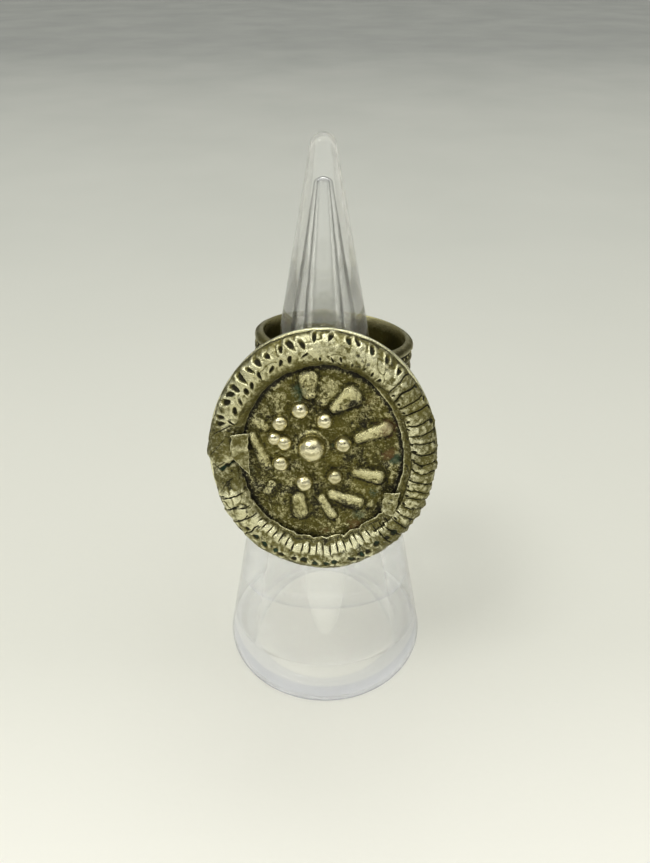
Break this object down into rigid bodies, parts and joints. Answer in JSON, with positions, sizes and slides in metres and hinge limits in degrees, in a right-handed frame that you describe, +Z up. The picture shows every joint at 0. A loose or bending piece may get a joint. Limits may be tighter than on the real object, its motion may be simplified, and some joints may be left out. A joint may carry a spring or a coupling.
{
  "type": "silver rosette ring on a plain clear ring-cone stand",
  "caption": "Wide silver band with an oval granulated rosette in a rolled foil rim, worn on a plain hollow clear ring cone.",
  "frame": {"origin": "middle of the cone's foot, on the table", "axes": "+Z up along the cone's axis, -Y towards the viewer, the way the medallion faces"},
  "size_m": [0.0306, 0.0306, 0.0767],
  "materials": {
    "clear_acrylic": "clear, polished acrylic with a wall of about 4 mm",
    "band_silver": "aged silver, satin on the edges and dark olive in the sunk rows",
    "field_silver": "matt olive tarnish with worn bright balls and spots of green and copper red",
    "foil_silver": "crumpled silver foil, bright on its ridges and dark in its punched marks"
  },
  "bodies": {
    "root": {"ring_cone": "clear_acrylic", "shank_with_back_plate": "band_silver", "medallion_field": "field_silver", "rim_collar": "foil_silver"}
  },
  "joints": []
}
